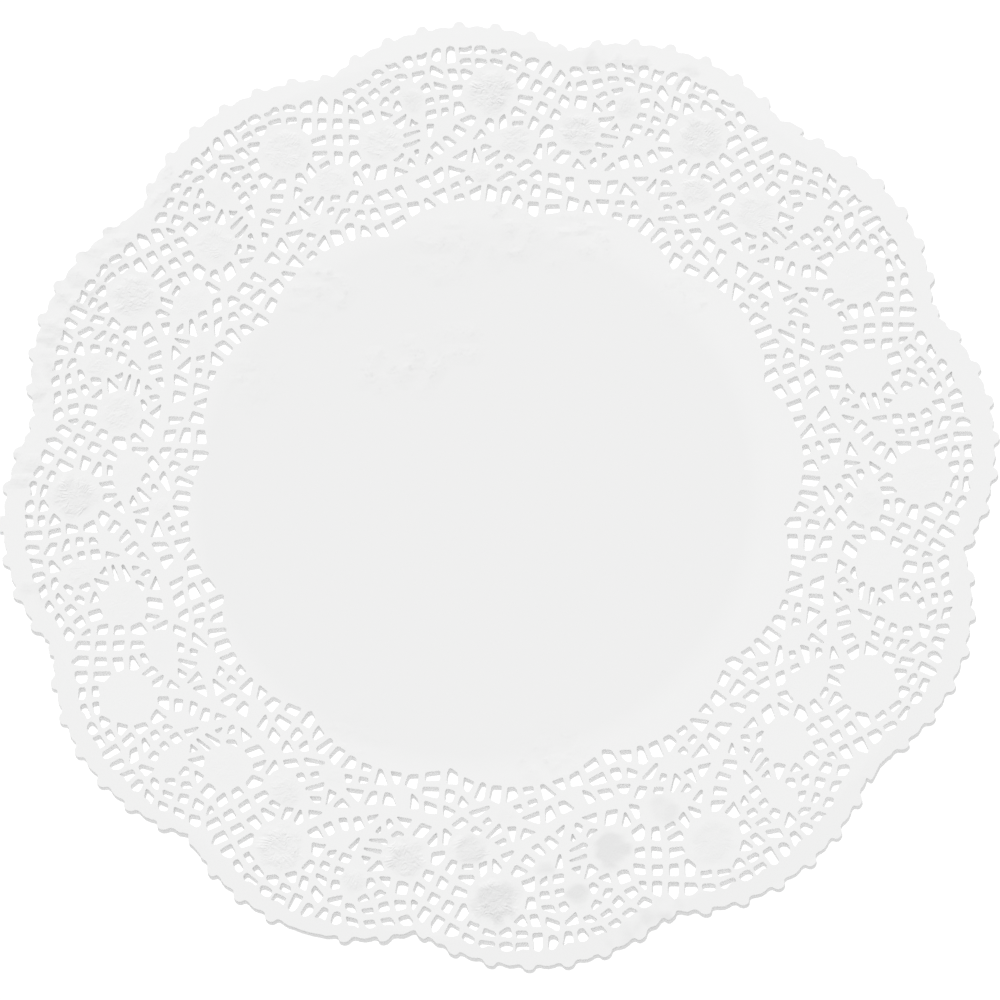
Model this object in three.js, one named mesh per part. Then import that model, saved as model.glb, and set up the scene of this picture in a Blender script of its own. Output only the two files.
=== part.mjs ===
// Round paper doily: one die-cut sheet with a plain round centre, a lace border and a scalloped rim.
// Millimetres, +Z up. The sheet lies on z = 0 with the centre of the round at the origin.
// The border is one repeat turned round the centre. A repeat is drawn with +Y pointing outward
// through its large rose and +X to the right.

import * as THREE from 'three';

// Driving dimensions of the sheet
const REPEATS = 12;
const REPEAT_ANGLE = (2 * Math.PI) / REPEATS;
const SHEET_THICKNESS = 1.5;

// Each scallop of the rim is one arc, and its peak lies a little left of the rose
const SCALLOP_RADIUS = 72.1;
const SCALLOP_CENTRE = 106.6;
const SCALLOP_PEAK_ANGLE = THREE.MathUtils.degToRad(5.3);

// Small round picots along the rim: the shoulder is the part of the half width where they bend over
const PICOTS_PER_REPEAT = 7;
const FIRST_PICOT_ANGLE = THREE.MathUtils.degToRad(3.7);
const PICOT_HALF_WIDTH = 1.7;
const PICOT_HEIGHT = 1.8;
const PICOT_SHOULDER = 0.65;
const WAVE_HEIGHT = 0.4;

// The larger gaps of one repeat, rows running outward from the plain centre: each row gives the
// band that the gap lies in and its corners
const GAPS = [
  { band: 'inner edge', corners: [[-31.3, 110.3], [-26.8, 111.0], [-26.1, 106.7], [-29.3, 104.8]] },
  { band: 'inner edge', corners: [[-21.9, 113.8], [-17.2, 116.0], [-15.7, 110.0], [-17.0, 109.6]] },
  {
    band: 'inner edge',
    corners: [[-8.2, 114.4], [-3.6, 116.6], [-4.3, 110.7], [-6.7, 110.5], [-7.6, 111.7]],
  },
  {
    band: 'inner edge',
    corners: [[-1.5, 116.6], [-0.7, 116.6], [2.2, 114.9], [1.2, 109.9], [-2.4, 110.1]],
  },
  { band: 'inner edge', corners: [[4.1, 115.2], [5.8, 115.9], [7.7, 114.5], [5.2, 108.9], [3.1, 109.6]] },
  {
    band: 'inner edge',
    corners: [[13.2, 109.5], [17.3, 109.2], [17.0, 104.8], [16.1, 103.1], [13.2, 105.1]],
  },
  { band: 'inner edge', corners: [[19.6, 108.0], [24.9, 108.0], [24.8, 104.8], [19.4, 104.2]] },
  {
    band: 'under the vine',
    corners: [[20.2, 114.2], [21.1, 114.5], [25.9, 112.9], [25.8, 110.1], [19.8, 110.3]],
  },
  {
    band: 'under the vine',
    corners: [[20.7, 120.3], [24.9, 119.8], [25.3, 115.5], [24.6, 115.3], [20.7, 116.8]],
  },
  {
    band: 'under the vine',
    corners: [[-28.2, 118.9], [-24.0, 120.9], [-23.2, 120.6], [-22.0, 116.4], [-24.4, 115.7]],
  },
  {
    band: 'under the vine',
    corners: [[-21.6, 121.9], [-18.3, 124.1], [-17.6, 123.4], [-17.5, 118.7], [-19.5, 117.3]],
  },
  { band: 'under the vine', corners: [[-15.8, 124.5], [-9.4, 122.4], [-9.5, 121.8], [-15.4, 119.4]] },
  { band: 'middle', corners: [[22.2, 124.9], [25.9, 129.1], [29.3, 128.2], [29.3, 127.2], [26.2, 123.3]] },
  {
    band: 'middle',
    corners: [[17.8, 133.6], [17.8, 136.2], [20.1, 138.9], [21.2, 139.1], [23.0, 138.3], [22.6, 134.2]],
  },
  {
    band: 'middle',
    corners: [[-11.5, 142.0], [-7.4, 143.9], [-5.0, 142.6], [-6.9, 139.3], [-11.2, 141.3]],
  },
  {
    band: 'beside the rose',
    corners: [[-13.5, 149.0], [-10.7, 149.0], [-8.9, 145.6], [-12.2, 144.1], [-13.8, 143.2]],
  },
  { band: 'beside the rose', corners: [[10.1, 150.9], [16.1, 149.7], [14.3, 146.3], [9.9, 148.3]] },
  {
    band: 'beside the rose',
    corners: [[9.3, 156.6], [12.0, 159.7], [14.8, 158.3], [12.0, 153.0], [10.6, 152.9]],
  },
  { band: 'outer', corners: [[30.5, 145.7], [31.5, 149.9], [35.6, 149.2], [34.7, 144.6], [32.5, 144.6]] },
  { band: 'outer', corners: [[22.4, 155.5], [25.8, 160.3], [27.9, 157.6], [25.6, 153.9], [24.9, 153.9]] },
  {
    band: 'outer',
    corners: [[28.9, 159.5], [29.8, 161.1], [33.0, 160.9], [34.4, 158.6], [34.0, 157.7], [30.9, 156.7]],
  },
  {
    band: 'outer',
    corners: [[17.5, 158.9], [20.5, 163.0], [22.2, 163.8], [23.0, 160.2], [21.0, 157.0], [20.3, 157.1]],
  },
  {
    band: 'outer',
    corners: [[12.6, 162.1], [13.3, 164.8], [16.2, 165.3], [18.4, 164.0], [16.3, 160.1], [15.6, 160.1]],
  },
  {
    band: 'outer',
    corners: [[-22.3, 163.2], [-21.3, 163.5], [-17.4, 161.1], [-17.5, 158.2], [-22.4, 160.0]],
  },
  {
    band: 'outer',
    corners: [[-16.3, 169.8], [-15.2, 171.0], [-13.2, 170.3], [-12.7, 164.2], [-16.4, 163.9]],
  },
];

// Distance from the doily's centre to the scallop arc, at an angle measured from the scallop's peak
function scallopReach(fromPeak) {
  const across = SCALLOP_CENTRE * Math.sin(fromPeak);
  return SCALLOP_CENTRE * Math.cos(fromPeak) + Math.sqrt(SCALLOP_RADIUS ** 2 - across ** 2);
}

// A point of the rim: angle is anticlockwise from +Y, lift is height above the arc
function rimPoint(angle, lift) {
  const fromPeak = angle - SCALLOP_PEAK_ANGLE;
  const folded = fromPeak - REPEAT_ANGLE * Math.round(fromPeak / REPEAT_ANGLE);
  const reach = scallopReach(folded) + lift;
  return new THREE.Vector2(-reach * Math.sin(angle), reach * Math.cos(angle));
}

// One picot and the low wave after it
function picotPoints(tipAngle, nextTipAngle) {
  const halfAngle = PICOT_HALF_WIDTH / (SCALLOP_CENTRE + SCALLOP_RADIUS);
  const shoulderAngle = halfAngle * PICOT_SHOULDER;
  const shoulderLift = PICOT_HEIGHT * Math.sqrt(1 - PICOT_SHOULDER ** 2);
  return [
    rimPoint(tipAngle - halfAngle, 0),
    rimPoint(tipAngle - shoulderAngle, shoulderLift),
    rimPoint(tipAngle, PICOT_HEIGHT),
    rimPoint(tipAngle + shoulderAngle, shoulderLift),
    rimPoint(tipAngle + halfAngle, 0),
    rimPoint((tipAngle + nextTipAngle) / 2, WAVE_HEIGHT),
  ];
}

// The whole rim, anticlockwise seen from above
function rimOutline() {
  const count = REPEATS * PICOTS_PER_REPEAT;
  const pitch = (2 * Math.PI) / count;
  const points = [];
  for (let i = 0; i < count; i += 1) {
    const tip = FIRST_PICOT_ANGLE + i * pitch;
    points.push(...picotPoints(tip, tip + pitch));
  }
  return points;
}

// A gap's corners turned to its place in one of the repeats
function gapPath(corners, repeat) {
  const centre = new THREE.Vector2(0, 0);
  const turned = corners.map(([x, y]) => new THREE.Vector2(x, y).rotateAround(centre, repeat * REPEAT_ANGLE));
  return new THREE.Path(turned);
}

function doilyShape() {
  const shape = new THREE.Shape(rimOutline());
  for (let repeat = 0; repeat < REPEATS; repeat += 1) {
    for (const gap of GAPS) {
      shape.holes.push(gapPath(gap.corners, repeat));
    }
  }
  return shape;
}

function paperMaterial() {
  return new THREE.MeshStandardMaterial({ color: 0xf3f3f1, roughness: 0.9, metalness: 0 });
}

function doily() {
  const sheet = { depth: SHEET_THICKNESS, bevelEnabled: false };
  const geometry = new THREE.ExtrudeGeometry(doilyShape(), sheet);
  const mesh = new THREE.Mesh(geometry, paperMaterial());
  mesh.name = 'doily';
  return mesh;
}

const model = new THREE.Group();
model.add(doily());

export default model;
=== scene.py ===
# Round paper doily lying flat: a plain centre, a die-cut lace border and a scalloped picot rim.
# The sheet is drawn in millimetres, +Y pointing through a large rose, and made in metres.

import math
from collections import namedtuple

import bpy
import numpy as np
from mathutils import Matrix, Vector, kdtree
from mathutils.geometry import delaunay_2d_cdt


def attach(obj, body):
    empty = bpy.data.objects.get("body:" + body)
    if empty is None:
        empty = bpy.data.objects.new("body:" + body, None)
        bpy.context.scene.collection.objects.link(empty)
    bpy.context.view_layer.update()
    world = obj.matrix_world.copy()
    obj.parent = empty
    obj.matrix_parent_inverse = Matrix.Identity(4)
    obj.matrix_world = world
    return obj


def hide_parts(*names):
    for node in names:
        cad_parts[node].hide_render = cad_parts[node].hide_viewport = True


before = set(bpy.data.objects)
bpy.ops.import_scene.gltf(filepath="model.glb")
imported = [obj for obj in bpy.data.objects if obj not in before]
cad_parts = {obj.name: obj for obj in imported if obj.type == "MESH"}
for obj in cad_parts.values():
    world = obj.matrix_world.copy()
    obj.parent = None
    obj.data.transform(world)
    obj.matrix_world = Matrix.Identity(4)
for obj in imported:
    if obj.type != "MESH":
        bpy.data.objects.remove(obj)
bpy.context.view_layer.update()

MM = 0.001
SEED = 12

# The lace border is one repeat turned round the centre
REPEATS = 12
REPEAT_ANGLE = 2 * math.pi / REPEATS

# The sheet is a little thinner at its rim
PAPER_THICKNESS = 1.6
RIM_THICKNESS = 1.1
THINS_FROM = 168.0

# It lies almost flat, with slow swells that grow toward the rim. Each swell has a share of the height,
# a number of waves round the doily, the phase that they start at, and how far they lean at the rim.
WAVE_HEIGHT = 0.16
SWELL_MIDDLE = 0.5
SWELLS = [
    {"share": 0.28, "waves": 3, "phase": 0.7, "lean": 0.0},
    {"share": 0.22, "waves": 7, "phase": 2.1, "lean": 1.5},
]

# Rim: one arc to a scallop, cut round a centre a little off the lace's own, and slightly oval
RIM_CENTRE = np.array((1.38, 2.79))
SCALLOP_RADIUS = 71.0
SCALLOP_CENTRE = 107.5
SCALLOP_PEAK_ANGLE = math.radians(5.55)
RIM_OVAL = 0.61
RIM_OVAL_TURN = math.radians(-5.9)
RIM_RADIUS = SCALLOP_CENTRE + SCALLOP_RADIUS

# The scallops anticlockwise from +Y: degrees that the arc is turned, how far it stands out, degrees that
# its picots are turned, and their height as a share of the usual
SCALLOPS = [
    {"turn": 0.8, "out": 0.0, "picot_turn": 0.6, "picot_height": 0.98},
    {"turn": 0.0, "out": -0.5, "picot_turn": 0.65, "picot_height": 0.96},
    {"turn": 0.3, "out": 0.0, "picot_turn": 0.0, "picot_height": 0.97},
    {"turn": -0.2, "out": -0.2, "picot_turn": -0.05, "picot_height": 0.92},
    {"turn": -1.1, "out": -0.6, "picot_turn": -0.7, "picot_height": 0.86},
    {"turn": -1.8, "out": -0.7, "picot_turn": -0.7, "picot_height": 0.86},
    {"turn": 0.9, "out": 0.0, "picot_turn": -0.45, "picot_height": 0.74},
    {"turn": -0.4, "out": 0.3, "picot_turn": -0.5, "picot_height": 0.94},
    {"turn": -0.8, "out": -0.5, "picot_turn": 0.0, "picot_height": 0.84},
    {"turn": 0.5, "out": 0.1, "picot_turn": 0.45, "picot_height": 0.85},
    {"turn": 1.0, "out": 0.3, "picot_turn": 0.3, "picot_height": 0.94},
    {"turn": -0.2, "out": 0.6, "picot_turn": 0.55, "picot_height": 1.04},
]

# Picots: their places on a scallop in degrees from its repeat's middle, and the shapes they have, as
# distances along the rim and out of it. Most are a small round knob with a low arch on each side.
PICOT_ANGLES = [-9.1, -5.15, -0.8, 3.6, 8.1, 12.45, 16.9]
PICOT_HEIGHT = 2.0
PICOT_SIDE = [
    (-5.0, -0.08), (-4.2, -0.4), (-3.2, -0.42), (-2.5, -0.15),
    (-2.1, 0.5), (-1.7, 1.2), (-1.0, 1.8),
]
PICOT_SHAPES = {
    "round": PICOT_SIDE + [(0.0, PICOT_HEIGHT)] + [(-x, y) for x, y in reversed(PICOT_SIDE)],
    "crushed": [(-5.0, 0.1), (-2.0, 0.25), (2.0, 0.25), (5.0, 0.1)],
    "folded over": [
        (-6.2, 0.0), (-6.0, 2.6), (-5.3, 3.0), (0.0, 2.9),
        (0.8, 2.1), (3.0, 0.1), (5.0, 0.0),
    ],
    "torn square": [(-5.0, -0.2), (-2.9, -0.3), (-2.8, 1.4), (2.9, 1.5), (3.0, 0.2), (5.0, -0.1)],
    "torn to a step": [(-6.3, 0.0), (-5.6, 0.2), (-5.4, 1.7), (-4.6, 2.3), (1.5, 0.8), (5.4, 0.0)],
    "cut short": [(-5.0, -0.1), (-3.2, -0.3), (-1.9, 0.6), (-1.0, 1.1), (1.5, 0.3), (5.0, -0.2)],
}
ARCH_HEIGHT = 0.22

# The odd picots, as (scallop, picot): shape
ODD_PICOTS = {
    (2, 0): "cut short",
    (3, 3): "torn square",
    (5, 0): "cut short",
    (5, 4): "crushed",
    (8, 0): "torn to a step",
    (11, 0): "folded over",
}

# The lace is drawn a little out of true: two drifts at a reference radius, which grow with the square of
# the radius. The first turns with the place round the doily, and the second points one way all round.
DRIFT_RADIUS = 150.0
TURNING_DRIFT = complex(0.60, -0.06)
STEADY_DRIFT = complex(0.43, 1.15)

# A gap's corner is a short curve: how far from the corner it starts, the largest share of a side that it
# takes, and how many points it has
CORNER_REACH = 0.75
CORNER_SHARE = 0.4
CORNER_STEPS = 3

# Spacing of the points inside the paper: along a rib, the least of any two on the ribs, on a motif
# between its ribs, on the lace's face, on its underside, and on the plain centre
RIB_SPACING = 0.8
LEAST_SPACING = 0.34
MOTIF_SPACING = 1.3
BORDER_SPACING = 2.2
UNDERSIDE_SPACING = 4.0
CENTRE_SPACING = 5.0

# The grids of points: radius of the plain one, radius of the whole, how far they keep off the edges of
# the paper, and the share of their spacing that they keep off points already there
PLAIN_RADIUS = 100.0
GRID_RADIUS = 184.0
EDGE_CLEARANCE = 0.5
POINT_CLEARANCE = 0.6

# The longest piece that an edge of the paper is split into, and the distance that makes two points one
EDGE_PIECE = 0.5
SAME_POINT = 1e-6

# Ribs of the pressed pattern: height, how far they stray, and the power that moves their swell inward
RIB_HEIGHT = 0.2
RIB_STRAY = 1.0
RIB_SWELL_INWARD = 0.7

# Petals: height that the outer part swells to, the share of the length where the swell starts, and how
# round the outer end is
PETAL_LIFT = 0.1
PETAL_LIFT_FROM = 0.2
FAN_ROUNDNESS = 0.8

# Soft patches, which vary the pattern from place to place: how many waves are added up, the shortest
# and longest of them, and the middle and contrast of the sum
PATCH_WAVES = 4
PATCH_LENGTH = (5.0, 11.0)
PATCH_MIDDLE = 0.4
PATCH_CONTRAST = 0.5

# The painted shade of a motif where a patch is lowest and highest: share of its reach, and share of its
# strength
PAINTED_SHADE_REACH = (0.9, 1.1)
PAINTED_SHADE_STRENGTH = (0.65, 1.0)

# A polygon is part of the sheet's face if its normal points up by more than this
FACE_UP = 0.7

# Greys of the paper, and the share of blue in them. The plain centre is a shade darker than the lace,
# inside a ring round a point in metres.
LACE_GREY = 0.854
CENTRE_GREY = 0.835
# Painted shade over pressed motifs and crumples, and rubbed flecks, mix the paper toward this grey
SHADE_AND_FLECK_GREY = 0.765
CUT_EDGE_GREYS = (0.92, 0.94)
BLUE_SHARE = 0.999
CENTRE_TONE_AT = (-0.007, 0, 0)
CENTRE_TONE_RING = (0.098, 0.104)

# Fine textures, in waves to a metre
FLECKS = {"Scale": 420.0, "Detail": 3.0, "Roughness": 0.55}
CREASES = {"Scale": 420.0, "Detail": 1.0, "Roughness": 0.5, "Distortion": 1.4}
LUMPS = {"Scale": 300.0, "Detail": 2.0, "Roughness": 0.5}
FIBRES = {"Scale": 2600.0, "Detail": 3.0, "Roughness": 0.6}
LAYERS = {"Scale": 3000.0, "Detail": 2.0, "Roughness": 0.5}

# Where a fleck and a layer of the cut edge begin and end in their texture, and how dark flecks are
FLECK_ENDS = (0.56, 0.66)
LAYER_ENDS = (0.3, 0.7)
FLECK_STRENGTH = 0.9

# Bumps: strength, and height in metres
CREASE_BUMP = {"Strength": 1.0, "Distance": 0.0004}
FIBRE_BUMP = {"Strength": 0.15, "Distance": 0.00003}

# Stage, light and camera
FLOOR_HALF = 6.0
FLOOR_GREY = 0.92
FLOOR_GLOW = 0.12
SKY_STRENGTH = 0.60
SUN_STRENGTH = 1.75
SUN_ELEVATION = math.radians(51)
SUN_AZIMUTH = math.radians(101.4)
SUN_SIZE = math.radians(3)
CAMERA_AZIMUTH = math.radians(-80.22)
CAMERA_ELEVATION = math.radians(72.36)
CAMERA_DISTANCE = 1.855
CAMERA_TARGET = Vector((0.0022, -0.0034, 0.0))
CAMERA_ROLL = math.radians(-10.65)
CAMERA_LENS = 185.9
SENSOR_WIDTH = 36.0

# The gaps of one repeat by zone. Each is a list of its corners, read off an enlarged average of
# the repeats.
GAPS = {
    "inner edge": [
        [(-31.3, 110.3), (-26.8, 111.0), (-26.1, 106.7), (-29.3, 104.8)],
        [(-24.9, 111.8), (-23.6, 112.2), (-19.8, 108.8), (-23.9, 107.3)],
        [(-21.9, 113.8), (-17.2, 116.0), (-15.7, 110.0), (-17.0, 109.6)],
        [(-13.8, 112.6), (-10.5, 113.6), (-9.4, 110.9), (-13.4, 110.3)],
        [(-8.2, 114.4), (-3.6, 116.6), (-4.3, 110.7), (-6.7, 110.5), (-7.6, 111.7)],
        [(-1.5, 116.6), (-0.7, 116.6), (2.2, 114.9), (1.2, 109.9), (-2.4, 110.1)],
        [(4.1, 115.2), (5.8, 115.9), (7.7, 114.5), (5.2, 108.9), (4.3, 108.7), (3.1, 109.6)],
        [(7.2, 108.6), (9.4, 112.4), (10.4, 112.1), (11.4, 110.3), (11.1, 106.6)],
        [(13.2, 109.5), (17.3, 109.2), (17.0, 104.8), (16.1, 103.1), (13.2, 105.1)],
        [(19.6, 108.0), (24.9, 108.0), (24.8, 104.8), (19.4, 104.2)],
    ],
    "under the vine": [
        [(-15.2, 116.7), (-12.2, 118.4), (-11.1, 115.9), (-14.4, 114.8)],
        [(-9.8, 119.5), (-8.3, 120.4), (-6.0, 117.7), (-9.1, 116.7)],
        [(1.7, 118.3), (6.7, 121.7), (9.5, 120.2), (9.1, 119.3), (2.2, 117.2)],
        [(9.1, 116.8), (11.5, 118.3), (13.4, 117.0), (13.2, 115.8), (11.9, 113.3)],
        [(15.2, 116.0), (16.8, 116.0), (18.0, 115.2), (17.8, 111.6), (16.9, 110.8), (14.0, 112.0)],
        [(20.2, 114.2), (21.1, 114.5), (25.9, 112.9), (25.8, 110.1), (19.8, 110.3)],
        [(20.7, 120.3), (24.9, 119.8), (25.3, 115.5), (24.6, 115.3), (20.7, 116.8)],
        [(13.6, 119.4), (16.7, 121.8), (18.4, 120.9), (18.5, 117.2), (17.6, 117.1)],
        [(27.0, 118.4), (30.3, 118.3), (29.9, 112.9), (29.3, 112.5), (27.4, 114.7)],
        [(-28.2, 118.9), (-24.0, 120.9), (-23.2, 120.6), (-22.0, 116.4), (-24.4, 115.7)],
        [(-21.6, 121.9), (-18.3, 124.1), (-17.6, 123.4), (-17.5, 118.7), (-19.5, 117.3)],
        [(-15.8, 124.5), (-9.4, 122.4), (-9.5, 121.8), (-15.4, 119.4)],
        [(9.1, 123.3), (12.6, 125.8), (13.8, 125.8), (15.7, 124.2), (11.8, 121.2)],
        [(1.0, 123.1), (2.2, 124.4), (4.3, 124.3), (4.7, 123.3), (2.5, 121.3)],
        [(4.4, 126.4), (5.8, 128.1), (6.8, 128.0), (9.1, 126.4), (7.2, 124.5)],
    ],
    "middle": [
        [(-2.4, 127.0), (2.8, 129.9), (3.6, 129.0), (-1.0, 124.1), (-1.7, 124.0)],
        [(-3.9, 131.5), (-2.2, 132.4), (0.7, 131.1), (-2.8, 129.2), (-3.8, 129.7)],
        [(-6.4, 130.9), (-5.9, 130.9), (-4.0, 125.2), (-7.5, 125.1)],
        [(-14.5, 127.3), (-8.9, 130.4), (-8.6, 129.2), (-9.7, 125.9), (-10.4, 125.8)],
        [(-23.3, 129.2), (-22.7, 129.1), (-20.9, 127.3), (-24.1, 124.6), (-24.5, 125.1)],
        [(-30.0, 128.1), (-27.8, 125.8), (-27.9, 124.3), (-28.8, 124.0), (-31.0, 125.3)],
        [(-28.4, 130.4), (-27.6, 131.0), (-26.3, 131.0), (-26.8, 128.2), (-27.4, 128.2)],
        [(-36.1, 127.2), (-34.2, 128.2), (-32.8, 129.9), (-31.7, 129.1), (-33.1, 126.4), (-35.6, 126.4)],
        [(-32.6, 132.1), (-32.2, 133.4), (-30.2, 133.6), (-26.2, 135.0), (-25.8, 134.1), (-30.8, 131.2)],
        [(-32.4, 137.1), (-26.3, 138.6), (-25.7, 137.8), (-31.9, 135.3)],
        [(-22.5, 131.5), (-20.3, 134.1), (-16.9, 130.3), (-18.7, 128.4), (-21.6, 130.6)],
        [(-17.9, 134.9), (-17.3, 135.8), (-16.0, 135.9), (-12.3, 133.0), (-14.9, 131.2)],
        [(-14.2, 137.9), (-13.0, 140.4), (-8.7, 137.8), (-10.7, 135.0)],
        [(-11.5, 142.0), (-7.4, 143.9), (-5.0, 142.6), (-6.9, 139.3), (-7.6, 139.3), (-11.2, 141.3)],
        [(-6.8, 134.2), (-3.7, 138.4), (-1.5, 135.5), (-5.9, 133.8)],
        [(-2.4, 140.2), (-1.0, 142.5), (1.1, 141.6), (1.2, 137.0), (0.4, 136.8)],
        [(3.1, 142.0), (5.2, 143.9), (6.1, 138.6), (3.0, 137.4)],
        [(7.8, 140.7), (12.1, 140.7), (11.7, 138.6), (7.8, 138.6)],
        [(7.3, 144.4), (8.7, 146.7), (13.4, 144.0), (12.9, 142.7), (7.7, 142.6)],
        [(15.1, 127.9), (16.5, 129.4), (16.9, 131.6), (18.8, 131.7), (18.5, 125.5), (17.4, 125.6)],
        [(20.7, 131.9), (23.1, 132.3), (24.4, 130.8), (21.1, 127.1), (20.5, 127.3)],
        [(22.2, 124.9), (25.9, 129.1), (29.3, 128.2), (29.3, 127.2), (26.2, 123.3)],
        [(-35.5, 124.6), (-30.0, 122.3), (-35.7, 120.3)],
        [(17.8, 133.6), (17.8, 136.2), (20.1, 138.9), (21.2, 139.1), (23.0, 138.3), (22.6, 134.2)],
    ],
    "beside the large rose": [
        [(13.2, 137.6), (15.4, 142.7), (18.1, 140.7), (15.7, 136.8)],
        [(16.3, 144.9), (18.2, 148.3), (21.3, 146.6), (19.4, 142.5)],
        [(10.2, 151.0), (16.0, 149.9), (14.3, 146.3), (9.9, 148.3)],
        [(21.3, 141.4), (23.3, 145.3), (26.1, 143.2), (24.8, 140.3)],
        [(-23.8, 140.7), (-20.7, 140.7), (-22.2, 135.5), (-23.0, 135.5)],
        [(-24.0, 145.7), (-20.2, 146.5), (-19.9, 143.0), (-23.9, 142.4)],
        [(-24.1, 150.4), (-21.2, 151.3), (-20.5, 148.5), (-23.9, 147.8)],
        [(-18.2, 146.8), (-15.6, 146.9), (-15.4, 144.9), (-18.1, 143.1)],
        [(-19.0, 151.8), (-15.4, 151.8), (-15.4, 149.0), (-18.7, 148.8)],
        [(-13.5, 149.0), (-10.7, 149.0), (-8.9, 145.6), (-9.1, 145.1), (-12.2, 144.1), (-13.8, 143.2)],
        [(-14.3, 155.4), (-10.1, 155.5), (-10.5, 153.4), (-11.1, 151.0), (-13.6, 150.9)],
        [(9.3, 156.6), (12.0, 159.7), (14.8, 158.3), (12.0, 153.0), (10.6, 152.9)],
        [(14.3, 152.8), (16.6, 156.9), (19.5, 155.2), (17.2, 151.4)],
        [(19.1, 150.5), (21.5, 153.8), (24.4, 152.0), (22.6, 148.5)],
        [(24.6, 147.1), (26.3, 150.7), (29.3, 148.4), (27.9, 144.6)],
        [(30.5, 145.7), (31.5, 149.9), (35.6, 149.2), (34.7, 144.6), (32.5, 144.6)],
        [(27.2, 152.6), (28.8, 155.4), (29.4, 155.2), (30.0, 151.9), (29.2, 151.3)],
        [(31.4, 154.8), (35.1, 155.7), (35.9, 151.8), (35.3, 151.5), (31.8, 151.7)],
    ],
    "beside the upright leaf": [
        [(-29.3, 143.2), (-28.2, 142.0), (-26.6, 141.2), (-26.8, 140.6), (-30.1, 139.6)],
        [(-36.4, 141.5), (-31.2, 145.0), (-31.0, 144.3), (-32.0, 141.0), (-32.3, 139.3), (-33.8, 139.1)],
        [(-36.3, 147.2), (-35.1, 150.1), (-33.8, 150.2), (-32.4, 147.0), (-34.1, 145.7)],
        [(-40.8, 146.4), (-36.0, 144.8), (-36.2, 144.0), (-39.6, 142.4)],
        [(-41.4, 148.2), (-39.7, 151.5), (-38.4, 151.9), (-37.2, 150.6), (-38.4, 148.1)],
        [(-37.6, 153.3), (-34.2, 156.2), (-33.1, 155.0), (-34.7, 152.0)],
        [(-26.1, 154.9), (-23.9, 156.8), (-22.8, 156.5), (-21.8, 153.6), (-24.3, 152.4)],
        [(-21.2, 157.2), (-16.3, 155.7), (-15.8, 154.1), (-20.2, 153.9)],
        [(-45.5, 153.2), (-42.6, 155.7), (-40.5, 153.2), (-42.9, 150.5)],
    ],
    "inside the rim, second row": [
        [(-41.1, 157.2), (-38.0, 159.0), (-36.2, 157.9), (-39.7, 155.1)],
        [(-35.8, 159.6), (-34.0, 160.6), (-31.2, 160.4), (-30.3, 158.6), (-33.0, 157.5)],
        [(-29.2, 160.9), (-24.7, 161.7), (-23.9, 160.2), (-27.8, 156.7), (-28.3, 156.9)],
        [(-22.3, 163.2), (-21.3, 163.5), (-17.4, 161.1), (-17.5, 158.2), (-22.4, 160.0)],
        [(-16.0, 161.9), (-12.7, 161.9), (-11.7, 157.4), (-14.5, 157.0)],
        [(-11.3, 161.2), (-9.7, 161.9), (-6.0, 160.1), (-8.8, 157.2), (-9.8, 157.4)],
        [(-11.6, 164.7), (-10.2, 165.9), (-7.2, 165.9), (-6.9, 163.2), (-10.6, 163.1)],
        [(-5.8, 165.2), (-4.8, 165.8), (-1.4, 165.0), (-0.9, 163.7), (-3.8, 161.7), (-5.2, 162.1)],
        [(-0.2, 165.0), (1.2, 165.4), (5.0, 164.3), (4.2, 162.1), (3.6, 162.1), (0.1, 163.6)],
        [(5.6, 161.2), (6.9, 163.2), (10.4, 161.4), (9.1, 159.1), (8.0, 160.0), (5.9, 160.5)],
    ],
    "inside the rim, first row": [
        [(12.6, 162.1), (13.3, 164.8), (16.2, 165.3), (18.4, 164.0), (16.3, 160.1), (15.6, 160.1)],
        [(17.5, 158.9), (20.5, 163.0), (22.2, 163.8), (23.0, 160.2), (21.0, 157.0), (20.3, 157.1)],
        [(22.4, 155.5), (25.8, 160.3), (27.9, 157.6), (25.6, 153.9), (24.9, 153.9)],
        [(28.9, 159.5), (29.8, 161.1), (33.0, 160.9), (34.4, 158.6), (34.0, 157.7), (30.9, 156.7)],
        [(-49.7, 157.2), (-48.2, 157.6), (-46.2, 159.1), (-43.8, 157.6), (-46.9, 155.1), (-49.3, 156.2)],
        [(-44.2, 160.6), (-42.8, 162.4), (-41.2, 162.7), (-38.9, 161.2), (-42.2, 158.8)],
        [(-39.2, 164.4), (-37.2, 164.1), (-35.4, 165.3), (-32.8, 162.8), (-37.0, 161.6)],
        [(-32.8, 165.6), (-31.4, 167.4), (-29.2, 167.5), (-28.3, 163.9), (-29.3, 162.6), (-30.8, 162.6)],
        [(-27.4, 167.9), (-25.5, 167.6), (-23.3, 168.9), (-24.1, 163.6), (-26.5, 163.5)],
        [
            (-22.0, 167.5), (-20.9, 169.8), (-19.3, 170.4), (-18.2, 169.6),
            (-18.4, 165.3), (-20.0, 164.7), (-21.6, 165.7),
        ],
        [(-16.3, 169.8), (-15.2, 171.0), (-13.2, 170.3), (-12.7, 164.2), (-16.4, 163.9)],
        [(-11.7, 170.4), (-9.5, 169.8), (-6.7, 170.9), (-6.9, 167.6), (-11.3, 167.4)],
        [
            (-6.0, 169.9), (-4.8, 170.7), (-2.2, 170.6), (-0.9, 168.6),
            (-1.6, 167.4), (-4.0, 167.0), (-5.7, 167.6),
        ],
        [(0.3, 169.0), (2.8, 168.5), (4.8, 169.5), (6.3, 168.2), (5.8, 166.3), (0.4, 167.1)],
        [(7.2, 166.2), (8.0, 167.8), (9.4, 167.8), (12.2, 165.6), (11.2, 163.5), (8.3, 164.9)],
    ],
}

# A petal or half leaf is a fan of ribs: the point that they spread from, the way it faces and its spread
# in degrees, how far from that point it starts and ends, how many ribs it has, and their bend in degrees
Fan = namedtuple("Fan", "base heading spread start end ribs bend")
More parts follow.
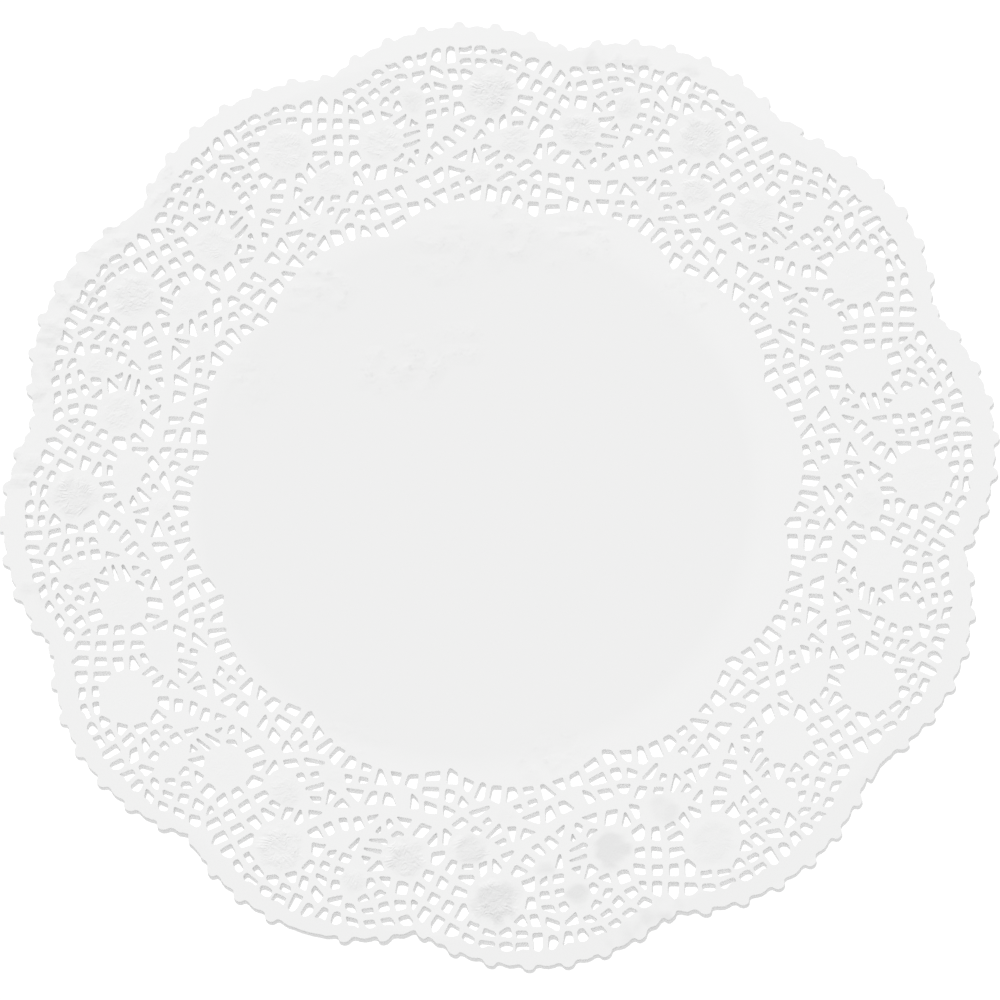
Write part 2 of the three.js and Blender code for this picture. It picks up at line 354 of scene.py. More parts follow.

# The pressed motifs of one repeat: middle, how far the pattern reaches, how far the shade painted over
# it reaches, and fans. Upper fans come first and cover the lower ones.
MOTIFS = {
    "large rose": {
        "at": (0.3, 152.3),
        "reach": 9.4,
        "painted_shade_reach": 9.4,
        "fans": [
            Fan(base=(0.2, -4.3), heading=88, spread=36, start=6.0, end=11.9, ribs=5, bend=6),
            Fan(base=(-4.5, -1.0), heading=4, spread=25, start=6.0, end=13.2, ribs=5, bend=6),
            Fan(base=(3.4, -1.3), heading=154, spread=28, start=6.3, end=12.2, ribs=4, bend=-6),
            Fan(base=(-4.9, 1.6), heading=-38, spread=24, start=6.2, end=13.2, ribs=5, bend=0),
            Fan(base=(-2.5, -8.0), heading=101, spread=42, start=3.0, end=10.0, ribs=6, bend=8),
            Fan(base=(-1.5, 4.0), heading=-84, spread=26, start=6.3, end=12.6, ribs=4, bend=8),
            Fan(base=(-2.6, -2.5), heading=46, spread=23, start=6.6, end=12.6, ribs=4, bend=-6),
        ],
    },
    "small rose": {
        "at": (31.8, 136.3),
        "reach": 7.8,
        "painted_shade_reach": 8.0,
        "fans": [
            Fan(base=(0.1, -4.5), heading=85, spread=34, start=5.8, end=11.2, ribs=4, bend=6),
            Fan(base=(0.0, -7.7), heading=104, spread=42, start=2.4, end=10.4, ribs=6, bend=10),
            Fan(base=(0.0, -7.5), heading=58, spread=44, start=2.4, end=9.6, ribs=6, bend=-20),
            Fan(base=(3.2, -2.6), heading=148, spread=26, start=6.3, end=11.8, ribs=4, bend=4),
            Fan(base=(-2.9, -2.3), heading=28, spread=25, start=6.0, end=11.3, ribs=4, bend=-4),
        ],
    },
    "wide leaf": {
        "at": (8.7, 133.4),
        "reach": 8.6,
        "painted_shade_reach": 6.4,
        "fans": [
            Fan(base=(-8.2, 2.6), heading=-24, spread=34, start=1.6, end=9.4, ribs=4, bend=16),
            Fan(base=(-2.8, -7.1), heading=46, spread=31, start=6.0, end=12.0, ribs=5, bend=-8),
        ],
    },
    "upright leaf": {
        "at": (-28.8, 150.0),
        "reach": 7.0,
        "painted_shade_reach": 5.4,
        "fans": [
            Fan(base=(0.6, -9.0), heading=92, spread=24, start=3.4, end=15.0, ribs=4, bend=6),
        ],
    },
    "vine leaf": {
        "at": (-3.8, 120.8),
        "reach": 4.6,
        "painted_shade_reach": 3.6,
        "fans": [
            Fan(base=(-6.0, 2.0), heading=-20, spread=30, start=2.4, end=9.6, ribs=3, bend=0),
        ],
    },
}

# How deeply each motif is pressed in the twelve repeats, anticlockwise from +Y
DEPTHS = {
    "large rose": [1.1, 0.6, 0.9, 0.8, 0.05, 0.8, 0.9, 0.2, 0.0, 0.15, 0.15, 0.85],
    "small rose": [0.9, 0.6, 0.4, 0.5, 0.15, 0.1, 0.9, 0.15, 0.0, 0.1, 0.05, 0.5],
    "wide leaf": [0.7, 0.5, 0.3, 0.1, 0.05, 0.6, 0.6, 0.1, 0.0, 0.2, 0.0, 0.7],
    "upright leaf": [0.45, 0.1, 0.4, 0.3, 0.0, 0.5, 0.15, 0.0, 0.05, 0.05, 0.0, 0.4],
    "vine leaf": [0.5, 0.2, 0.1, 0.2, 0.0, 0.1, 0.1, 0.0, 0.0, 0.1, 0.0, 0.1],
}

# How much shade is painted on the paper of a motif, standing in for the shade of its pressed pattern, in
# the same order
PAINTED_SHADES = {
    "large rose": [0.5, 0.2, 0.4, 0.5, 0.0, 0.3, 1.3, 0.35, 0.0, 0.05, 0.05, 0.5],
    "small rose": [0.45, 0.2, 0.2, 0.25, 0.05, 0.05, 0.6, 1.4, 0.0, 0.0, 0.0, 0.3],
    "wide leaf": [0.3, 0.15, 0.1, 0.05, 0.05, 0.3, 0.8, 0.6, 0.0, 0.2, 0.0, 0.35],
    "upright leaf": [0.4, 0.1, 0.2, 0.1, 0.0, 0.3, 1.1, 0.0, 0.0, 0.0, 0.0, 0.4],
    "vine leaf": [0.3, 0.1, 0.1, 0.1, 0.0, 0.1, 0.1, 0.0, 0.0, 0.0, 0.0, 0.1],
}

# Rubbed and crumpled places: middle, reach, how rubbed the paper is there, and how much darker it is
# painted there, which along the crumpled rim is painted shade
RUBBED_AND_SHADED = [
    {"at": (-42.0, 46.0), "reach": 10.0, "rubbed": 0.8, "grey": 0.06},
    {"at": (-27.0, 48.0), "reach": 13.0, "rubbed": 1.0, "grey": 0.14},
    {"at": (-10.0, 57.0), "reach": 11.0, "rubbed": 0.6, "grey": 0.04},
    {"at": (-18.0, 92.0), "reach": 15.0, "rubbed": 0.8, "grey": 0.08},
    {"at": (6.0, 97.0), "reach": 16.0, "rubbed": 0.9, "grey": 0.12},
    {"at": (32.0, 93.0), "reach": 15.0, "rubbed": 0.8, "grey": 0.08},
    {"at": (-62.0, 76.0), "reach": 15.0, "rubbed": 0.7, "grey": 0.06},
    {"at": (-86.0, 44.0), "reach": 13.0, "rubbed": 0.5, "grey": 0.04},
    {"at": (70.0, 72.0), "reach": 12.0, "rubbed": 0.5, "grey": 0.04},
    {"at": (-50.0, -88.0), "reach": 14.0, "rubbed": 0.3, "grey": 0.04},
    {"at": (20.0, -100.0), "reach": 16.0, "rubbed": 0.5, "grey": 0.08},
    {"at": (37.0, 166.0), "reach": 5.0, "rubbed": 0.6, "grey": 0.5},
    {"at": (45.0, 166.0), "reach": 5.0, "rubbed": 0.8, "grey": 0.5},
    {"at": (54.0, 163.0), "reach": 6.0, "rubbed": 0.8, "grey": 0.7},
    {"at": (72.0, 157.0), "reach": 7.0, "rubbed": 0.8, "grey": 0.6},
    {"at": (-126.0, 122.0), "reach": 12.0, "rubbed": 1.0, "grey": 0.15},
    {"at": (-142.0, 97.0), "reach": 11.0, "rubbed": 1.0, "grey": 0.3},
    {"at": (-152.0, 80.0), "reach": 12.0, "rubbed": 1.0, "grey": 0.4},
    {"at": (-159.0, 68.0), "reach": 7.0, "rubbed": 1.0, "grey": 0.5},
    {"at": (-163.0, 59.0), "reach": 6.0, "rubbed": 1.0, "grey": 0.7},
    {"at": (-164.0, 50.0), "reach": 6.0, "rubbed": 1.0, "grey": 0.7},
    {"at": (-164.0, 40.0), "reach": 6.0, "rubbed": 1.0, "grey": 0.5},
    {"at": (-172.0, 13.0), "reach": 10.0, "rubbed": 1.0, "grey": 0.4},
    {"at": (-165.0, -34.0), "reach": 7.0, "rubbed": 0.5, "grey": 0.4},
    {"at": (44.0, -166.0), "reach": 7.0, "rubbed": 0.2, "grey": 0.4},
    {"at": (52.0, -159.0), "reach": 6.0, "rubbed": 0.2, "grey": 0.6},
    {"at": (60.0, -155.0), "reach": 6.0, "rubbed": 0.2, "grey": 0.8},
    {"at": (17.6, -139.6), "reach": 4.0, "rubbed": 0.4, "grey": 0.7},
    {"at": (131.0, -112.0), "reach": 6.0, "rubbed": 0.4, "grey": 0.4},
]


# Outline and gaps, in millimetres

def scallop_reach(angle):
    """How far out the rim lies at an angle: on the outermost of the scallops that come near it."""
    reach = 0.0
    for number, scallop in enumerate(SCALLOPS):
        peak = SCALLOP_PEAK_ANGLE + number * REPEAT_ANGLE + math.radians(scallop["turn"])
        from_peak = (angle - peak + math.pi) % (2 * math.pi) - math.pi
        if abs(from_peak) < REPEAT_ANGLE:
            across = SCALLOP_CENTRE * math.sin(from_peak)
            arc = SCALLOP_CENTRE * math.cos(from_peak) + math.sqrt(SCALLOP_RADIUS**2 - across**2)
            reach = max(reach, arc + scallop["out"])
    return reach


def rim_point(angle, lift):
    """A point of the rim, angle anticlockwise from +Y, lift above the scallop's arc."""
    heading = angle + math.pi / 2
    oval = RIM_OVAL * math.cos(2 * (heading - RIM_OVAL_TURN))
    reach = scallop_reach(angle) + oval + lift
    return (RIM_CENTRE[0] + reach * math.cos(heading), RIM_CENTRE[1] + reach * math.sin(heading))


def picots():
    """Every picot anticlockwise: the angle of its tip, its shape, and its height as a share."""
    for number, scallop in enumerate(SCALLOPS):
        for place, angle in enumerate(PICOT_ANGLES):
            tip = number * REPEAT_ANGLE + math.radians(angle + scallop["picot_turn"])
            if (number, place) in ODD_PICOTS:
                yield tip, ODD_PICOTS[number, place], 1.0
            else:
                yield tip, "round", scallop["picot_height"]


def rim_outline():
    """Every picot with the middle of the arch after it, anticlockwise."""
    row = list(picots())
    tips = [tip for tip, _, _ in row]
    points = []
    for (tip, shape, height), after in zip(row, tips[1:] + [tips[0] + 2 * math.pi]):
        for along, lift in PICOT_SHAPES[shape]:
            rise = lift * height if lift > 0 else lift
            points.append(rim_point(tip + along / RIM_RADIUS, rise))
        points.append(rim_point((tip + after) / 2, ARCH_HEIGHT))
    return points


def turned(points, angle):
    """Points turned anticlockwise round the centre."""
    c, s = math.cos(angle), math.sin(angle)
    return [(x * c - y * s, x * s + y * c) for x, y in points]


def drifted(points):
    """Points of the lace moved out of true."""
    moved = []
    for x, y in points:
        place = complex(x, y) / DRIFT_RADIUS
        drift = TURNING_DRIFT * place**2 + STEADY_DRIFT * abs(place) ** 2
        moved.append((x + drift.real, y + drift.imag))
    return moved


def rounded(corners):
    """The polygon with each corner bent over a short curve."""
    points = []
    count = len(corners)
    for i, corner in enumerate(corners):
        here = Vector(corner)
        before = Vector(corners[i - 1]) - here
        after = Vector(corners[(i + 1) % count]) - here
        start = here + before.normalized() * min(CORNER_REACH, CORNER_SHARE * before.length)
        end = here + after.normalized() * min(CORNER_REACH, CORNER_SHARE * after.length)
        for step in range(CORNER_STEPS):
            t = step / (CORNER_STEPS - 1)
            point = start * (1 - t) ** 2 + here * (2 * t * (1 - t)) + end * t**2
            points.append(tuple(point))
    return points


def all_loops():
    """The rim, then every gap of every repeat, with the paper on the left all the way round."""
    loops = [rim_outline()]
    for repeat in range(REPEATS):
        for zone in GAPS.values():
            for corners in zone:
                loops.append(drifted(turned(rounded(corners), repeat * REPEAT_ANGLE)))
    return loops


# Pressed pattern

def between(ends, share):
    """The value a share of the way from the first end to the second."""
    return ends[0] + (ends[1] - ends[0]) * share


def in_fan(points, fan):
    """Where points lie in a fan: 0 to 1 along it, -0.5 to 0.5 across it, and whether they are inside."""
    offset = points - np.array(fan.base)
    along = (np.hypot(*offset.T) - fan.start) / (fan.end - fan.start)
    heading = np.radians(fan.heading + fan.bend * along)
    turn = np.arctan2(offset[:, 1], offset[:, 0]) - heading
    across = ((turn + math.pi) % (2 * math.pi) - math.pi) / math.radians(fan.spread)
    inside = (along > 0) & (along < 1 - FAN_ROUNDNESS * across**2) & (np.abs(across) < 0.5)
    return along, across, inside


def fan_points(fan):
    """Points along the crests and troughs of a fan's ribs."""
    length = fan.end - fan.start
    along = np.linspace(0, 1, math.ceil(length / RIB_SPACING) + 1)
    across = np.linspace(-0.5, 0.5, 2 * fan.ribs + 1)
    along, across = (a.ravel() for a in np.meshgrid(along, across))
    heading = np.radians(fan.heading + fan.bend * along + fan.spread * across)
    away = fan.start + length * along * (1 - FAN_ROUNDNESS * across**2)
    return np.array(fan.base) + np.stack([away * np.cos(heading), away * np.sin(heading)], axis=1)


def fan_height(along, across, ribs):
    """Ribs that swell and fade along the fan, on a petal whose outer part is raised a little."""
    swell = np.sin(math.pi * along**RIB_SWELL_INWARD)
    rib = 0.5 - 0.5 * np.cos(2 * math.pi * ribs * (across + 0.5))
    outer = np.clip((along - PETAL_LIFT_FROM) / (1 - PETAL_LIFT_FROM), 0, 1)
    return RIB_HEIGHT * swell * rib + PETAL_LIFT * np.sin(math.pi * outer)


def motif_height(points, motif):
    """Height of the pattern at points in the motif's own frame."""
    height = np.zeros(len(points))
    for fan in reversed(motif["fans"]):
        along, across, inside = in_fan(points, fan)
        height[inside] = fan_height(along[inside], across[inside], fan.ribs)
    return height


def patches(points, rng):
    """A soft uneven field between 0 and 1."""
    total = np.zeros(len(points))
    for _ in range(PATCH_WAVES):
        turn, phase = rng.uniform(0, 2 * math.pi, 2)
        step = 2 * math.pi / rng.uniform(*PATCH_LENGTH)
        total += np.sin(step * (points[:, 0] * math.cos(turn) + points[:, 1] * math.sin(turn)) + phase)
    return np.clip(PATCH_MIDDLE + PATCH_CONTRAST * total, 0, 1)


def strayed(points, rng):
    """The points moved a little to and fro, so that ribs drawn on them run unevenly."""
    to_and_fro = np.stack([patches(points, rng), patches(points, rng)], axis=1) - 0.5
    return points + RIB_STRAY * to_and_fro


def placed_motifs():
    """Every motif of every repeat: name, repeat, and where and how far turned it lies."""
    for repeat in range(REPEATS):
        angle = repeat * REPEAT_ANGLE
        for name, motif in MOTIFS.items():
            yield name, repeat, np.array(drifted(turned([motif["at"]], angle))[0]), angle


def local_points(points, centre, turn):
    """Points in the frame of a motif that lies at a centre and is turned."""
    return np.array(turned(points - centre, -turn))


def soft_spot(points, centre, reach):
    """1 over the middle of a spot, falling smoothly to 0 at its reach."""
    inward = np.clip(2 * (1 - np.hypot(*(points - centre).T) / reach), 0, 1)
    return inward**2 * (3 - 2 * inward)


def relief(points):
    """Height of the pressed pattern, and at each point how pressed the paper is, how much grey is
    painted on it (painted shade over the motifs and crumples, darker patches elsewhere), and how rubbed
    it is.
    """
    height, pressed, grey, rubbed = np.zeros((4, len(points)))
    rng = np.random.default_rng(SEED)
    for name, repeat, centre, angle in placed_motifs():
        motif = MOTIFS[name]
        near = np.flatnonzero(np.hypot(*(points - centre).T) < motif["reach"])
        local = local_points(points[near], centre, angle)
        depth = DEPTHS[name][repeat] * patches(local, rng)
        uneven = patches(local, rng)
        # A motif's grey is painted shade: the shade of its pressed pattern, put into the paper's colour
        spot = soft_spot(points[near], centre, motif["painted_shade_reach"] * between(PAINTED_SHADE_REACH, uneven))
        shade = PAINTED_SHADES[name][repeat] * spot * between(PAINTED_SHADE_STRENGTH, uneven)
        height[near] = np.maximum(height[near], motif_height(strayed(local, rng), motif) * depth)
        pressed[near] = np.maximum(pressed[near], DEPTHS[name][repeat] * spot)
        grey[near] = np.maximum(grey[near], shade)
    for place in RUBBED_AND_SHADED:
        spot = soft_spot(points, np.array(place["at"]), place["reach"]) * patches(points, rng)
        # A place's grey darkens the paper; along the crumpled rim it is painted shade of the crumples
        grey = np.maximum(grey, spot * place["grey"])
        rubbed = np.maximum(rubbed, spot * place["rubbed"])
    return height, np.column_stack([pressed, grey, rubbed])


def waviness(points):
    """Height of the sheet's underside over the table."""
    radius = np.hypot(points[:, 0], points[:, 1]) / RIM_RADIUS
    angle = np.arctan2(points[:, 1], points[:, 0])
    height = np.full(len(points), SWELL_MIDDLE)
    for swell in SWELLS:
        phase = swell["waves"] * angle + swell["phase"] + swell["lean"] * radius
        height += swell["share"] * np.sin(phase)
    return WAVE_HEIGHT * np.clip(height, 0, 1) * radius**2


def thickness(points):
    """Thickness of the sheet: even, then thinning in a narrow band to the rim."""
    out = (np.hypot(*(points - RIM_CENTRE).T) - THINS_FROM) / (RIM_RADIUS - THINS_FROM)
    return between((PAPER_THICKNESS, RIM_THICKNESS), np.clip(out, 0, 1))


# Points and triangles

def hex_grid(half, spacing):
    """Points of a triangular grid over a square, given half the square's width."""
    across = np.arange(-half, half, spacing)
    up = np.arange(-half, half, spacing * math.sqrt(3) / 2)
    x, y = np.meshgrid(across, up)
    x[1::2] += spacing / 2
    return np.stack([x.ravel(), y.ravel()], axis=1)


def tree_of(points):
    """A search tree for the nearest of the points."""
    tree = kdtree.KDTree(len(points))
    for i, (x, y) in enumerate(points):
        tree.insert((x, y, 0), i)
    tree.balance()
    return tree


def clear_of(points, taken, clearance):
    """The points further than the clearance from every point taken."""
    if len(taken) == 0:
        return points
    tree = tree_of(taken)
    keep = [tree.find((x, y, 0))[2] > clearance for x, y in points]
    return points[np.array(keep, dtype=bool)]


def thinned(points):
    """The points in order, without those too close to one before them."""
    cells = {}
    kept = []
    for x, y in points:
        column, row = int(x // LEAST_SPACING), int(y // LEAST_SPACING)
        around = [(column + i, row + j) for i in (-1, 0, 1) for j in (-1, 0, 1)]
        near = [point for cell in around for point in cells.get(cell, ())]
        if all(math.hypot(x - px, y - py) > LEAST_SPACING for px, py in near):
            cells.setdefault((column, row), []).append((x, y))
            kept.append((x, y))
    return np.array(kept)


class PaperEdge:
    """Short pieces of every loop, each with its middle and the direction from it into the paper."""

    def __init__(self, loops):
        middles, inwards = [], []
        for loop in loops:
            start = np.array(loop)
            run = np.roll(start, -1, axis=0) - start
            length = np.linalg.norm(run, axis=1)
            for p, r, size in zip(start, run, length):
                count = math.ceil(size / EDGE_PIECE)
                share = (np.arange(count) + 0.5)[:, None] / count
                middles.append(p + r * share)
                inwards.append(np.repeat([[-r[1] / size, r[0] / size]], count, axis=0))
        self.middles = np.concatenate(middles)
        self.inwards = np.concatenate(inwards)
        self.tree = tree_of(self.middles)

    def well_inside(self, points):
        """The points that lie on the paper and clear of its edges."""
        found = [self.tree.find((x, y, 0)) for x, y in points]
        nearest = np.array([f[1] for f in found])
        distance = np.array([f[2] for f in found])
        side = np.sum((points - self.middles[nearest]) * self.inwards[nearest], axis=1)
        return points[(distance > EDGE_CLEARANCE) & (side > 0)]


def motif_points(motif):
    """Points of one motif in its own frame: along the ribs that show, then a wider grid between them."""
    chosen = np.zeros((0, 2))
    for i, fan in enumerate(motif["fans"]):
        points = fan_points(fan)
        for upper in motif["fans"][:i]:
            points = points[~in_fan(points, upper)[2]]
        chosen = np.concatenate([chosen, points])
    chosen = thinned(chosen)
    grid = hex_grid(motif["reach"], MOTIF_SPACING)
    chosen = np.concatenate([chosen, clear_of(grid, chosen, MOTIF_SPACING * POINT_CLEARANCE)])
    return chosen[np.hypot(*chosen.T) < motif["reach"]]


def all_motif_points():
    """The points of every motif in its place."""
    own = {name: motif_points(motif) for name, motif in MOTIFS.items()}
    placed = [np.array(turned(own[name], angle)) + at for name, _, at, angle in placed_motifs()]
    return np.concatenate(placed)


def inner_points(edge, lace_spacing, with_motifs):
    """Points inside the paper: close on the motifs, wider on the lace, wide on the plain centre."""
    chosen = edge.well_inside(all_motif_points()) if with_motifs else np.zeros((0, 2))
    rings = [(lace_spacing, PLAIN_RADIUS, GRID_RADIUS), (CENTRE_SPACING, 0, PLAIN_RADIUS)]
    for spacing, low, high in rings:
        grid = hex_grid(high, spacing)
        radius = np.hypot(*grid.T)
        grid = edge.well_inside(grid[(radius >= low) & (radius < high)])
        chosen = np.concatenate([chosen, clear_of(grid, chosen, spacing * POINT_CLEARANCE)])
    return chosen


def triangulate(loops, extra):
    """The paper between rim and gaps: its points, its triangles, and which given point each one is."""
    points, edges, loop_of = [], [], []
    for number, loop in enumerate(loops):
        start = len(points)
        points += [Vector(p) for p in loop]
        edges += [(start + i, start + (i + 1) % len(loop)) for i in range(len(loop))]
        loop_of += [number] * len(loop)
    points += [Vector(p) for p in extra]
    loop_of += [-1] * len(extra)
    whole_hull = 0
    found, _, triangles, sources, _, _ = delaunay_2d_cdt(points, edges, [], whole_hull, SAME_POINT)
    place = np.array([tuple(p) for p in found])
    source = np.array([s[0] for s in sources])
    triangles = np.array(triangles)
    a, b, c = (place[triangles[:, i]] for i in range(3))
    area = (b[:, 0] - a[:, 0]) * (c[:, 1] - a[:, 1]) - (b[:, 1] - a[:, 1]) * (c[:, 0] - a[:, 0])
    triangles[area < 0] = triangles[area < 0][:, ::-1]
    paper = ~off_paper(source[triangles], np.array(loop_of))
    used, compact = np.unique(triangles[paper], return_inverse=True)
    return place[used], compact.reshape(-1, 3), source[used]


def off_paper(corners, loop_of):
    """A triangle is off the paper if its corners are all on one loop and run against that loop."""
    loops = loop_of[corners]
    on_one = (loops[:, 0] >= 0) & (loops[:, 0] == loops[:, 1]) & (loops[:, 0] == loops[:, 2])
    steps_back = np.sum(corners > np.roll(corners, -1, axis=1), axis=1)
    return on_one & (steps_back == 2)


def border_edges(triangles):
    """The edges that only one triangle has, in that triangle's direction."""
    edges = np.concatenate([triangles[:, [0, 1]], triangles[:, [1, 2]], triangles[:, [2, 0]]])
    size = edges.max() + 1
    code = edges[:, 0].astype(np.int64) * size + edges[:, 1]
    back = edges[:, 1].astype(np.int64) * size + edges[:, 0]
    return edges[~np.isin(code, back)]


# The doily

def cut_edge_faces(top_faces, top_source, under_source, edge_count):
    """Walls from the face's border down to the underside, whose points are counted after the face's."""
    under_of = np.full(edge_count, -1)
    on_edge = under_source < edge_count
    under_of[under_source[on_edge]] = np.flatnonzero(on_edge) + len(top_source)
    a, b = border_edges(top_faces).T
    return np.column_stack([b, a, under_of[top_source[a]], under_of[top_source[b]]])


def doily_mesh():
    """The sheet: its face with the pressed pattern, its underside, and the cut edge between them."""
    loops = all_loops()
    edge_count = sum(len(loop) for loop in loops)
    edge = PaperEdge(loops)
    top, top_faces, top_source = triangulate(loops, inner_points(edge, BORDER_SPACING, True))
    under, under_faces, under_source = triangulate(loops, inner_points(edge, UNDERSIDE_SPACING, False))

    raised, painted_shade_and_marks = relief(top)
    high = np.column_stack([top, waviness(top) + thickness(top) + raised])
    low = np.column_stack([under, waviness(under)])
    wall = cut_edge_faces(top_faces, top_source, under_source, edge_count)
    faces = top_faces.tolist() + (under_faces[:, ::-1] + len(high)).tolist() + wall.tolist()

    mesh = bpy.data.meshes.new("doily_paper")
    mesh.from_pydata((np.concatenate([high, low]) * MM).tolist(), [], faces)
    mesh.materials.append(paper_material())
    mesh.materials.append(cut_edge_material())
    is_wall = np.arange(len(faces)) >= len(faces) - len(wall)
    mesh.polygons.foreach_set("material_index", is_wall.astype(np.int32))
    mesh.validate()
    # Each point holds how pressed the paper is, how much shade and darkening is painted on it, and how
    # rubbed it is
    attribute = mesh.attributes.new("painted_shade_and_marks", "FLOAT_VECTOR", "POINT")
    values = np.concatenate([painted_shade_and_marks, np.zeros((len(low), 3))])
    attribute.data.foreach_set("vector", values.ravel())
    return mesh


def paper_area(mesh):
    """Area of one face of the sheet, in square metres."""
    return sum(p.area for p in mesh.polygons if p.normal.z > FACE_UP)


# Materials

def new_material(name, roughness, specular):
    """A material and its shader."""
    material = bpy.data.materials.new(name)
    material.use_nodes = True
    shader = material.node_tree.nodes["Principled BSDF"]
    shader.inputs["Roughness"].default_value = roughness
    shader.inputs["Specular IOR Level"].default_value = specular
    return material, shader


def node(tree, kind, **settings):
    """A new node with some of its inputs or properties set."""
    made = tree.nodes.new(kind)
    for name, value in settings.items():
        if name in made.inputs:
            made.inputs[name].default_value = value
        else:
            setattr(made, name, value)
    return made


def noise(tree, place, texture):
    """A noise between 0 and 1."""
    made = node(tree, "ShaderNodeTexNoise", **texture)
    tree.links.new(place, made.inputs["Vector"])
    return made.outputs["Fac"]


def ramp(tree, value, places, greys):
    """A grey that runs from the first to the second while the value runs between two places."""
    made = tree.nodes.new("ShaderNodeValToRGB")
    for element, place, grey in zip(made.color_ramp.elements, places, greys):
        element.position = place
        element.color = (grey, grey, grey * BLUE_SHARE, 1)
    tree.links.new(value, made.inputs["Fac"])
    return made.outputs["Color"]


def product(tree, first, second):
    """Two values multiplied, each a number or a socket."""
    made = node(tree, "ShaderNodeMath", operation="MULTIPLY")
    for socket, value in zip(made.inputs, (first, second)):
        if isinstance(value, float):
            socket.default_value = value
        else:
            tree.links.new(value, socket)
    return made.outputs["Value"]


def bump(tree, height, shape, below=None):
    """The normal of a bumpy surface, on top of the normal below if there is one."""
    made = node(tree, "ShaderNodeBump", **shape)
    tree.links.new(height, made.inputs["Height"])
    if below:
        tree.links.new(below, made.inputs["Normal"])
    return made.outputs["Normal"]


def paper_colour(tree, place, grey, rubbed):
    """White paper, a shade darker at the centre, with shade painted over the pressed motifs and
    crumples, darker patches, and flecks where it is rubbed.
    """
    away = node(tree, "ShaderNodeVectorMath", operation="DISTANCE")
    tree.links.new(place, away.inputs[0])
    away.inputs[1].default_value = CENTRE_TONE_AT
    tone = ramp(tree, away.outputs["Value"], CENTRE_TONE_RING, (CENTRE_GREY, LACE_GREY))

    fleck = ramp(tree, noise(tree, place, FLECKS), FLECK_ENDS, (0.0, 1.0))
    worn = product(tree, product(tree, fleck, rubbed), FLECK_STRENGTH)
    shade = node(tree, "ShaderNodeMath", operation="MAXIMUM")
    tree.links.new(grey, shade.inputs[0])
    tree.links.new(worn, shade.inputs[1])

    # Mixing toward the darker grey paints shade on pressed motifs and crumples, and darkens flecks where
    # the paper is rubbed
    colour = node(tree, "ShaderNodeMix", data_type="RGBA")
    tree.links.new(shade.outputs["Value"], colour.inputs["Factor"])
    tree.links.new(tone, colour.inputs["A"])
    colour.inputs["B"].default_value = (SHADE_AND_FLECK_GREY, SHADE_AND_FLECK_GREY, SHADE_AND_FLECK_GREY, 1)
    return colour.outputs["Result"]


def paper_normal(tree, place, pressed, rubbed):
    """Fine creases where the paper is pressed or rubbed, and fibre grain all over."""
    crease = product(tree, noise(tree, place, CREASES), pressed)
    lump = product(tree, noise(tree, place, LUMPS), rubbed)
    normal = bump(tree, crease, CREASE_BUMP)
    normal = bump(tree, lump, CREASE_BUMP, normal)
    return bump(tree, noise(tree, place, FIBRES), FIBRE_BUMP, normal)


def paper_material():
    material, shader = new_material("lace_paper", roughness=0.88, specular=0.18)
    tree = material.node_tree
    place = node(tree, "ShaderNodeTexCoord").outputs["Object"]
    painted_shade_and_marks = node(tree, "ShaderNodeAttribute", attribute_name="painted_shade_and_marks")
    split = node(tree, "ShaderNodeSeparateXYZ")
    tree.links.new(painted_shade_and_marks.outputs["Vector"], split.inputs["Vector"])
    # The grey here is painted shade over pressed motifs and crumples, and darker patches
    pressed, grey, rubbed = (split.outputs[axis] for axis in "XYZ")
    tree.links.new(paper_colour(tree, place, grey, rubbed), shader.inputs["Base Color"])
    tree.links.new(paper_normal(tree, place, pressed, rubbed), shader.inputs["Normal"])
    return material


def cut_edge_material():
    """The cut edge is lighter than the face: light comes through the paper there."""
    material, shader = new_material("cut_edge", roughness=0.95, specular=0.1)
    tree = material.node_tree
    place = node(tree, "ShaderNodeTexCoord").outputs["Object"]
    layer = ramp(tree, noise(tree, place, LAYERS), LAYER_ENDS, CUT_EDGE_GREYS)
    tree.links.new(layer, shader.inputs["Base Color"])
    return material


def floor_material():
    material, shader = new_material("floor_white", roughness=0.9, specular=0.0)
    shader.inputs["Base Color"].default_value = (FLOOR_GREY, FLOOR_GREY, FLOOR_GREY, 1)
    shader.inputs["Emission Color"].default_value = (1, 1, 1, 1)
    shader.inputs["Emission Strength"].default_value = FLOOR_GLOW
    return material


# Stage, light and camera

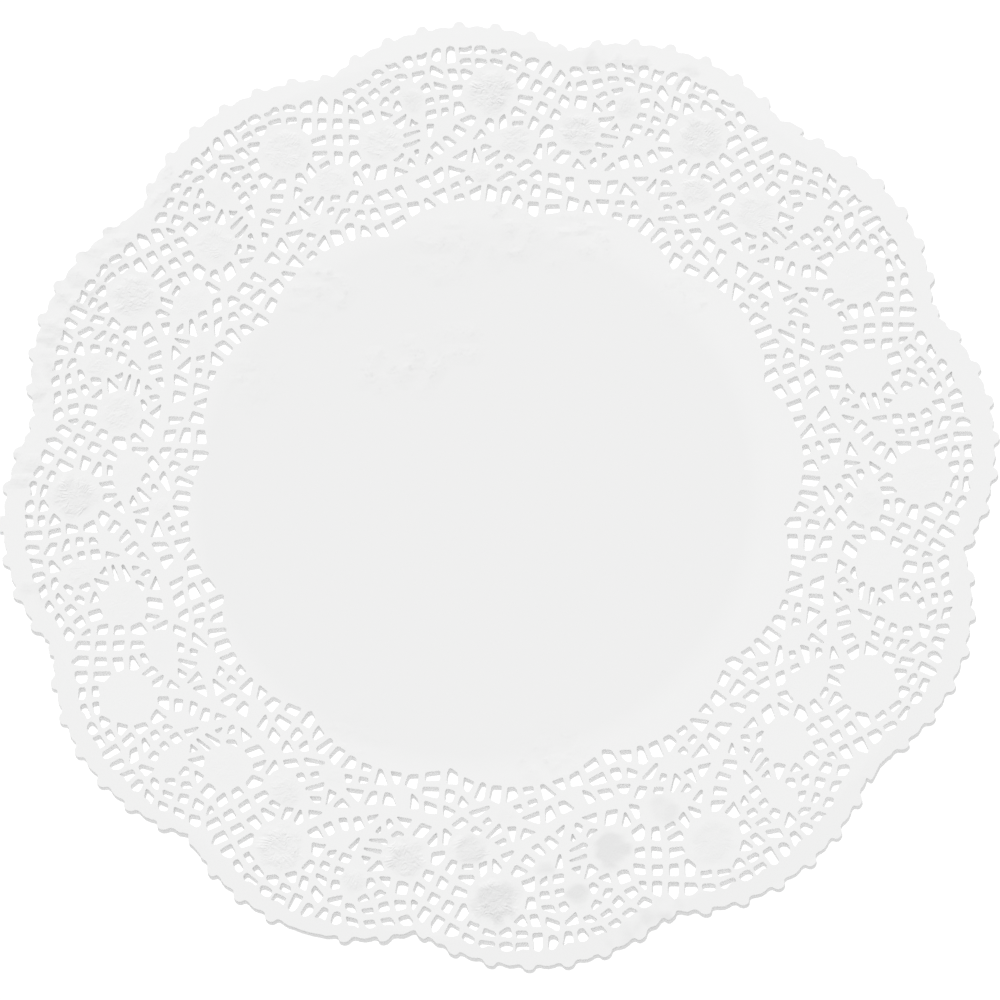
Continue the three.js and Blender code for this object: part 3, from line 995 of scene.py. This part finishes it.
def direction(azimuth, elevation):
    """The unit vector toward a place in the sky."""
    flat = math.cos(elevation)
    return Vector((flat * math.cos(azimuth), flat * math.sin(azimuth), math.sin(elevation)))


def make_floor():
    mesh = bpy.data.meshes.new("floor")
    h = FLOOR_HALF
    mesh.from_pydata([(-h, -h, 0), (h, -h, 0), (h, h, 0), (-h, h, 0)], [], [(0, 1, 2, 3)])
    mesh.materials.append(floor_material())
    floor = bpy.data.objects.new("floor", mesh)
    bpy.context.collection.objects.link(floor)


def make_light():
    """An even white sky and one soft sun."""
    world = bpy.data.worlds.new("studio")
    bpy.context.scene.world = world
    world.use_nodes = True
    sky = world.node_tree.nodes["Background"]
    sky.inputs["Color"].default_value = (1, 1, 1, 1)
    sky.inputs["Strength"].default_value = SKY_STRENGTH
    sun_data = bpy.data.lights.new("sun", "SUN")
    sun_data.energy = SUN_STRENGTH
    sun_data.angle = SUN_SIZE
    sun = bpy.data.objects.new("sun", sun_data)
    sun.rotation_euler = direction(SUN_AZIMUTH, SUN_ELEVATION).to_track_quat("Z", "Y").to_euler()
    bpy.context.collection.objects.link(sun)


def make_camera():
    """A camera nearly overhead, rolled a little round its line of sight."""
    back = direction(CAMERA_AZIMUTH, CAMERA_ELEVATION)
    right = Vector((0, 0, 1)).cross(back).normalized()
    up = back.cross(right)
    turn = Matrix.Rotation(CAMERA_ROLL, 3, back)
    axes = Matrix((turn @ right, turn @ up, back)).transposed()
    data = bpy.data.cameras.new("camera")
    data.sensor_width = SENSOR_WIDTH
    data.lens = CAMERA_LENS
    camera = bpy.data.objects.new("camera", data)
    camera.matrix_world = Matrix.Translation(CAMERA_TARGET + back * CAMERA_DISTANCE) @ axes.to_4x4()
    bpy.context.collection.objects.link(camera)
    bpy.context.scene.camera = camera


def make_doily():
    mesh = doily_mesh()
    doily = bpy.data.objects.new("doily_paper", mesh)
    bpy.context.collection.objects.link(doily)
    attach(doily, "root")
    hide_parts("doily")
    paper_area(mesh)


bpy.context.scene.view_settings.view_transform = "Standard"
make_camera()
make_floor()
make_light()
make_doily()
